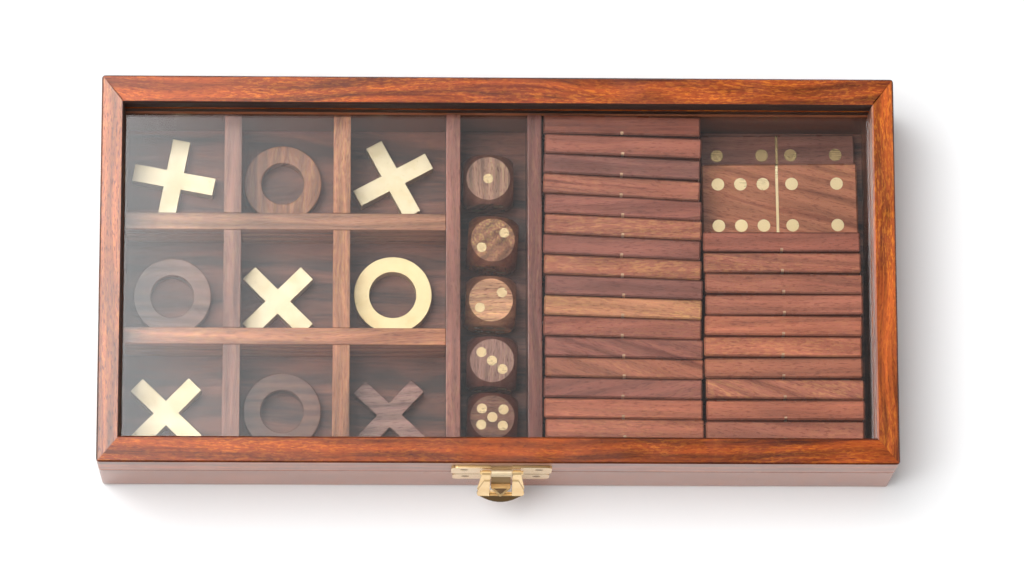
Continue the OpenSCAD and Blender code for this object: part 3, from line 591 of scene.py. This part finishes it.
# Painted shade on the dice's roundings
DIE_ROUNDING_PAINTED_SHADE = 0.7


def die_rule(normal, middle):
    """The flat sides keep their colour, and the rounding between them gets painted shade and is duller."""
    return (0.0, 0.0) if max(abs(part) for part in normal) > 0.98 else (DIE_ROUNDING_PAINTED_SHADE, 0.2)


for number in range(1, 6):
    die = "die_%d" % number
    finish_faces(keep_shape(die, die + "_cube", MATERIALS[die]), die_rule)
    dress(die + "_pips", PIP_BRASS)


# Dominoes

# Painted shade on the tiles' chamfers, in the dark gaps between them
TILE_BEVEL_PAINTED_SHADE = 0.3


def loose_parts(piece):
    """The piece's unconnected solids, each as a list of point numbers."""
    mesh = piece.data
    parent = list(range(len(mesh.vertices)))

    def root(i):
        while parent[i] != i:
            parent[i] = parent[parent[i]]
            i = parent[i]
        return i

    for edge in mesh.edges:
        a, b = root(edge.vertices[0]), root(edge.vertices[1])
        if a != b:
            parent[a] = b
    found = {}
    for i in range(len(mesh.vertices)):
        found.setdefault(root(i), []).append(i)
    return list(found.values())


def dominoes(node, name, looks, salt):
    """Dresses the tiles of a node, counted from the back. A look is board, slope, streaks and flecks."""
    piece = copy_node(node, name)
    smooth(piece)
    points = piece.data.vertices
    tiles = sorted(loose_parts(piece), key=lambda part: -sum(points[i].co.y for i in part) / len(part))
    attributes = piece.data.attributes
    layers = [attributes.new(layer, "FLOAT_VECTOR", "POINT") for layer in ("paint", "tile", "figure")]
    for number, part in enumerate(tiles):
        board, slope, streaks, flecks = looks[number]
        offset = math.sin(12.9898 * (number + 1) + 78.233 * salt)
        values = (hue(BOARDS[board])[:3], (offset, slope, 0.0), (streaks, flecks, 0.0))
        for layer, value in zip(layers, values):
            for i in part:
                layer.data[i].vector = value
    # The chamfers get painted shade
    finish_faces(piece, lambda normal, middle: (0.0, 0.0) if max(abs(n) for n in normal) > 0.9
                 else (TILE_BEVEL_PAINTED_SHADE, 0.1))
    finish_piece(piece, node, TILE_WOOD)


# The set is cut from several boards, and each tile is of one of them. The lower tile's dark board also
# holds painted shade.
BOARDS = {"umber": "824e44", "plum": "874634", "cocoa": "905346", "russet": "9a5746", "amber": "a05c46",
          "rose": "a45f4b", "copper": "b0634b", "honey": "bc7958", "dark_board_and_painted_shade": "784d42", "fawn": "a4654c"}
LEFT_TILES = [
    ("plum", 0.0, 0.7, 0.12), ("russet", 0.0, 0.2, 0.18), ("umber", 0.0, 0.3, 0.12),
    ("rose", 0.1, 0.9, 0.3), ("cocoa", 0.0, 0.5, 0.12), ("rose", 0.0, 0.4, 0.48),
    ("cocoa", 0.0, 0.4, 0.06), ("amber", 0.0, 0.2, 0.48), ("umber", 0.0, 0.4, 0.06),
    ("honey", 0.1, 0.2, 0.42), ("russet", 0.0, 0.8, 0.24), ("cocoa", 0.35, 0.8, 0.3),
    ("amber", 0.3, 0.8, 0.3), ("cocoa", -0.2, 0.7, 0.18), ("copper", 0.0, 0.4, 0.18),
    ("copper", 0.0, 0.3, 0.24)]
RIGHT_TILES = [
    ("russet", 0.0, 0.2, 0.06), ("rose", 0.05, 0.6, 0.42), ("rose", 0.1, 0.8, 0.36),
    ("rose", 0.0, 0.3, 0.12), ("copper", 0.0, 0.2, 0.18), ("copper", 0.0, 0.2, 0.3),
    ("amber", 0.0, 0.3, 0.18), ("rose", 0.3, 0.6, 0.48), ("copper", 0.0, 0.4, 0.18),
    ("rose", 0.1, 0.5, 0.18)]
dominoes("dominoes_left_row", "left_row_tiles", LEFT_TILES, 1)
dominoes("dominoes_right_row", "right_row_tiles", RIGHT_TILES, 2)
# The lower tile has a darker board that also holds painted shade, as it lies low in shadow
dominoes("domino_lower", "lower_tile", [("dark_board_and_painted_shade", 0.0, 0.5, 0.1)], 3)
dominoes("domino_upper", "upper_tile", [("fawn", 0.25, 0.7, 0.2)], 4)
dress("dominoes_left_inlays", EDGE_BRASS)
dress("dominoes_right_inlays", EDGE_BRASS)
for node_name, metal in (("domino_lower_inlays", SHADED_BRASS), ("domino_upper_inlays", INLAY_BRASS)):
    # The inlays' rims and sides get painted shade
    finish_faces(soften(node_name, node_name + "_brass", INLAY_GROOVE, metal, 1),
                 lambda normal, middle: (0.0 if normal.z > 0.95 else 0.9, 0.0))


# Latch and hinges. Sizes of the latch are in millimetres, and mm turns them into metres.

mm = 0.001
FLAP_AXIS = Vector((1.0, -63.9651, 33.9)) * mm
FLAP_LEAN = math.radians(13.0)
FLAP_WALL = 0.75
LIP_START = 17.3
LIP_REACH = 2.4
LIP_CURL = (math.radians(15.0), math.radians(62.0))
WINDOW_HALF = 3.45
WINDOW_END = 16.4
PLATEAU_START = 5.2
PLATEAU_END = 16.75
PLATEAU_RISE = 0.35
PLATEAU_HALF = 5.4
PLATEAU_LOW = 5.1
LIP_CURL_STEPS = 24
LIP_CUTS = 7
LIP_HALF_CHORD = 6.8
FLAP_ROUND = 0.11
EAR_RADIUS = 0.9
EAR_LENGTH = 2.65
EAR_MIDDLE = 4.775
KNUCKLE_RADIUS = 1.25
KNUCKLE_LENGTH = 6.5
KNUCKLE_ROUND = 0.2
LATCH_MIDDLE = 1.0
PLATE_FRONT = -62.0151
HOLLOW_RIM = 0.5
HOLLOW_DEPTH = 0.45
NOSE_NARROWING = 0.4


def cut(place, facing, clear=True):
    """Cuts the sheet that is being edited along a line, and takes away the side that the cut faces."""
    bpy.ops.mesh.select_all(action="SELECT")
    bpy.ops.mesh.bisect(plane_co=(place[0] * mm, place[1] * mm, 0.0), plane_no=(*facing, 0.0),
                        clear_outer=clear)


def pick_faces(piece, rule):
    """Selects the faces whose middle and normal the rule takes, in edit mode."""
    bpy.ops.mesh.select_all(action="DESELECT")
    bpy.ops.object.mode_set(mode="OBJECT")
    for face in piece.data.polygons:
        face.select = rule(face.center / mm, face.normal)
    bpy.ops.object.mode_set(mode="EDIT")
    bpy.ops.mesh.select_mode(type="FACE")


def flap_outline():
    """The flap's straight sides, clipped corners and round lip, as places and the ways they face."""
    for side in (-1, 1):
        yield (side * 6.1, 0.0), (side * 0.9956, -0.0942)
        yield (side * 7.5, 14.0), (side * 0.9945, 0.1047)
        yield (side * 7.3, 15.9), (side * 0.942, 0.336)
    arc = (LIP_HALF_CHORD ** 2 + LIP_REACH ** 2) / (2 * LIP_REACH)
    middle = LIP_START + LIP_REACH - arc
    for step in range(-5, 6):
        angle = math.radians(8 * step)
        facing = (math.sin(angle), math.cos(angle))
        yield (arc * facing[0], middle + arc * facing[1]), facing


def curl_lip(piece):
    """Rolls the lip up and out from its bend, more and more towards its rim."""
    low, high = LIP_CURL
    for point in piece.data.vertices:
        reach = point.co.y / mm - LIP_START
        if reach > 0:
            angles = [low + (high - low) * (k + 0.5) / LIP_CURL_STEPS * reach / LIP_REACH
                      for k in range(LIP_CURL_STEPS)]
            point.co.y = (LIP_START + sum(math.cos(a) for a in angles) * reach / LIP_CURL_STEPS) * mm
            point.co.z += sum(math.sin(a) for a in angles) * reach / LIP_CURL_STEPS * mm


def press_flap():
    """The latch's flap, pressed from sheet: drawn flat with its axis on X, then leaned into place."""
    clear_selection()
    bpy.ops.mesh.primitive_plane_add(size=1.0)
    sheet = bpy.context.active_object
    sheet.name = "latch_hasp"
    bpy.ops.object.mode_set(mode="EDIT")
    bpy.ops.transform.resize(value=(17 * mm, 21 * mm, 1.0))
    bpy.ops.transform.translate(value=(0.0, 10.5 * mm, 0.0))
    for place, facing in flap_outline():
        cut(place, facing)
    for side in (-1, 1):
        cut((side * WINDOW_HALF, 0.0), (1.0, 0.0), clear=False)
        cut((side * PLATEAU_HALF, PLATEAU_LOW), (side * 0.967, -0.255), clear=False)
    for line in (PLATEAU_START, 12.0, WINDOW_END, PLATEAU_END):
        cut((0.0, line), (0.0, 1.0), clear=False)
    for step in range(LIP_CUTS):
        cut((0.0, LIP_START + LIP_REACH * step / LIP_CUTS), (0.0, 1.0), clear=False)
    pick_faces(sheet, lambda middle, normal: abs(middle.x) < WINDOW_HALF and middle.y < WINDOW_END)
    bpy.ops.mesh.delete(type="FACE")
    pick_faces(sheet, lambda middle, normal: PLATEAU_START < middle.y < PLATEAU_END
               and abs(middle.x) < PLATEAU_HALF + 0.264 * (middle.y - PLATEAU_LOW))
    bpy.ops.mesh.inset(thickness=0.25 * mm, depth=0.0, use_boundary=False)
    bpy.ops.transform.translate(value=(0.0, 0.0, PLATEAU_RISE * mm))
    bpy.ops.mesh.select_all(action="SELECT")
    bpy.ops.mesh.dissolve_limited(angle_limit=math.radians(0.1))
    bpy.ops.object.mode_set(mode="OBJECT")
    curl_lip(sheet)
    wall = sheet.modifiers.new("wall", "SOLIDIFY")
    wall.thickness = FLAP_WALL * mm
    wall.offset = 0.0
    bpy.ops.object.modifier_apply(modifier="wall")
    for side in (-1, 1):
        clear_selection()
        bpy.ops.mesh.primitive_cylinder_add(vertices=32, radius=EAR_RADIUS * mm, depth=EAR_LENGTH * mm,
                                            location=(side * EAR_MIDDLE * mm, 0.0, 0.0),
                                            rotation=(0.0, math.pi / 2, 0.0))
        ear = bpy.context.active_object
        bpy.ops.object.transform_apply(location=True, rotation=True, scale=True)
        ear.select_set(True)
        sheet.select_set(True)
        bpy.context.view_layer.objects.active = sheet
        bpy.ops.object.join()
    edit(sheet, lambda: bpy.ops.mesh.normals_make_consistent(inside=False))
    round_edges(sheet, FLAP_ROUND * mm)
    down = Vector((0.0, -math.sin(FLAP_LEAN), -math.cos(FLAP_LEAN)))
    out = Vector((0.0, -math.cos(FLAP_LEAN), math.sin(FLAP_LEAN)))

    # Painted dark reflection on the lip, and painted shade on the raised plateau's sloping edges
    def flap_rule(normal, middle):
        if middle.y / mm > LIP_START + 0.4 and normal.z > 0.3:
            return 0.85, 0.05
        return (0.45 if 0.2 < normal.z < 0.93 and middle.z > 0.42 * mm else 0.0), 0.0

    finish_faces(sheet, flap_rule)
    into_place = Matrix((Vector((-1.0, 0.0, 0.0)), down, out)).transposed().to_4x4()
    into_place.translation = FLAP_AXIS
    sheet.data.transform(into_place)
    finish_piece(sheet, "latch_flap", LATCH_BRASS)


def raise_catch():
    """The catch with a steeper nose than the CAD's, and its front pressed in to a V-shaped hollow."""
    piece = copy_node("latch_catch", "latch_lower_plate")
    # Old and new places on the nose, each as its reach out of the plate and its height
    moves = (((2.7, 23.4), (3.2, 21.9)), ((4.4, 22.6), (4.7, 21.9)), ((3.5, 21.7), (3.7, 20.9)),
             ((2.2, 22.6), (2.2, 21.2)))
    for point in piece.data.vertices:
        out, height = PLATE_FRONT - point.co.y / mm, point.co.z / mm
        if abs(point.co.x / mm - LATCH_MIDDLE) < 3.4:
            for old, new in moves:
                if abs(out - old[0]) < 0.12 and abs(height - old[1]) < 0.12:
                    point.co.y, point.co.z = (PLATE_FRONT - new[0]) * mm, new[1] * mm
            if out > 5.4:
                point.co.x = (LATCH_MIDDLE + (point.co.x / mm - LATCH_MIDDLE) * NOSE_NARROWING) * mm
    piece.data.update()
    make_active(piece)
    bpy.ops.object.mode_set(mode="EDIT")
    pick_faces(piece, lambda middle, normal: PLATE_FRONT - middle.y > 4.8
               and normal.y < -0.7 and normal.z > 0.2)
    bpy.ops.mesh.inset(thickness=HOLLOW_RIM * mm, depth=-HOLLOW_DEPTH * mm)
    bpy.ops.object.mode_set(mode="OBJECT")
    hollow = [face.index for face in piece.data.polygons if face.select]
    bottoms = [piece.data.polygons[i].center.copy() for i in hollow]
    down = piece.data.polygons[hollow[0]].normal.copy()
    round_edges(piece, METAL_ROUND)

    # Painted shade in the nose's hollow, painted dark reflection on the concave part above the nose, and
    # painted shade on the plate's top
    def catch_rule(normal, middle):
        out = PLATE_FRONT - middle.y / mm
        at_bottom = any(abs((middle - bottom).dot(down)) < 0.1 * mm for bottom in bottoms)
        if out > 4.4 and normal.dot(down) > 0.9 and at_bottom:
            return 0.95, 0.1
        if 1.0 < out < 3.2 and abs(middle.x / mm - LATCH_MIDDLE) < 3.3 and normal.z > 0.2:
            return 0.8, 0.05
        return (0.45 if normal.z > 0.9 and out < 1.0 else 0.0), 0.0

    finish_faces(piece, catch_rule)
    finish_piece(piece, "latch_catch", LATCH_BRASS)


def turn_knuckle():
    """The rolled brass that the flap turns on, between the flap's ears."""
    clear_selection()
    bpy.ops.mesh.primitive_cylinder_add(vertices=40, radius=KNUCKLE_RADIUS * mm, depth=KNUCKLE_LENGTH * mm,
                                        location=FLAP_AXIS, rotation=(0.0, math.pi / 2, 0.0))
    roll = bpy.context.active_object
    roll.name = "latch_knuckle"
    bpy.ops.object.transform_apply(location=True, rotation=True, scale=True)
    round_edges(roll, KNUCKLE_ROUND * mm)
    roll.data.materials.append(PALE_BRASS)
    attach(roll, "lid")


press_flap()
raise_catch()
turn_knuckle()
# The upper plate's top gets painted shade
finish_faces(soften("latch_lid_plate", "latch_upper_plate", METAL_ROUND, LATCH_BRASS),
             lambda normal, middle: (0.5 if normal.z > 0.8 else 0.0, 0.0))
soften("latch_pin", "latch_axle", METAL_ROUND, LATCH_BRASS)
for node_name in ("latch_lid_screws", "latch_base_screws", "hinge_base_screws", "hinge_lid_screws"):
    soften(node_name, node_name + "_brass", SCREW_ROUND, SCREW_BRASS)
for side in ("left", "right"):
    for part in ("base_leaf", "lid_leaf", "pin"):
        node_name = "hinge_%s_%s" % (side, part)
        soften(node_name, node_name + "_brass", METAL_ROUND, HINGE_BRASS)


# Table, light and camera

def stage_material(name, colour):
    material, _, shader, _ = start_material(name)
    shader.inputs["Base Color"].default_value = colour
    shader.inputs["Roughness"].default_value = 0.9
    return material


clear_selection()
bpy.ops.mesh.primitive_plane_add(size=8.0, location=(0.0, 0.0, 0.0))
table = bpy.context.active_object
table.name = "table"
table.data.materials.append(stage_material("white table", (0.84, 0.84, 0.835, 1.0)))


def soft_light(name, place, target, width, height, power, colour=(1.0, 1.0, 1.0)):
    lamp = bpy.data.lights.new(name, "AREA")
    lamp.shape = "RECTANGLE"
    lamp.size = width
    lamp.size_y = height
    lamp.energy = power
    lamp.color = colour
    holder = bpy.data.objects.new(name, lamp)
    bpy.context.scene.collection.objects.link(holder)
    holder.location = place
    aim = Vector(target) - Vector(place)
    holder.rotation_euler = aim.to_track_quat("-Z", "Y").to_euler()


CARD_PLACE = (0.2, -1.6, 1.1)
CARD_POWER = 6.0
soft_light("card", CARD_PLACE, (0.0, 0.0, 0.0), 1.5, 1.0, CARD_POWER, (1.0, 0.99, 0.98))

# The studio: dim all round, with a soft box overhead on the left that fades towards the right. The
# numbers for its place are parts of a sight line's direction, so 0.1 is about six degrees.
SOFTBOX_EDGE = 0.072
SOFTBOX_FADE = 32.0
SOFTBOX_POWER = 7.4
AMBIENT = 0.35
world = bpy.data.worlds.new("studio")
bpy.context.scene.world = world
world.use_nodes = True
sky = world.node_tree
backdrop = sky.nodes["Background"]
way = add_node(sky, "ShaderNodeSeparateXYZ")
feed(sky, way.inputs[0], add_node(sky, "ShaderNodeTexCoord").outputs["Generated"])
rise = maths(sky, "MULTIPLY", maths(sky, "ADD", way.outputs["X"], SOFTBOX_EDGE), -SOFTBOX_FADE)
near_side = maths(sky, "MINIMUM", maths(sky, "EXPONENT", rise), 1.0)
far_side = remap(sky, way.outputs["X"], -0.78, -0.48)
front_end = remap(sky, way.outputs["Y"], -0.36, -0.26)
width = maths(sky, "MULTIPLY", front_end, remap(sky, way.outputs["Y"], 0.46, 0.38))
above = remap(sky, way.outputs["Z"], 0.0, 0.1)
across_box = maths(sky, "MULTIPLY", near_side, far_side)
softbox = maths(sky, "MULTIPLY", across_box, maths(sky, "MULTIPLY", width, above))
low_dim = remap(sky, way.outputs["Z"], 0.02, 0.35, 0.25, 1.0)
dim = maths(sky, "MULTIPLY", low_dim, remap(sky, way.outputs["Z"], 0.84, 0.95, 1.0, 0.6))
all_round = maths(sky, "MULTIPLY", dim, AMBIENT)
bright = maths(sky, "ADD", all_round, maths(sky, "MULTIPLY", softbox, SOFTBOX_POWER))
feed(sky, backdrop.inputs["Strength"], bright)
backdrop.inputs["Color"].default_value = (0.99, 1.0, 1.015, 1.0)

# Focal length in millimetres, and the camera's place in metres
LENS = 179.65
CAMERA_PLACE = (-0.0412, -0.3567, 1.6002)
camera_data = bpy.data.cameras.new("camera")
camera_data.lens = LENS
camera_data.sensor_width = 36.0
camera_data.clip_start = 0.05
camera = bpy.data.objects.new("camera", camera_data)
bpy.context.scene.collection.objects.link(camera)
camera.location = CAMERA_PLACE
to_right = Vector((0.99959, -0.00179, 0.02865))
to_top = Vector((-0.00455, 0.97556, 0.21969))
camera.rotation_euler = Matrix((to_right, to_top, to_right.cross(to_top))).transposed().to_euler()
bpy.context.scene.camera = camera
bpy.context.scene.view_settings.view_transform = "Standard"
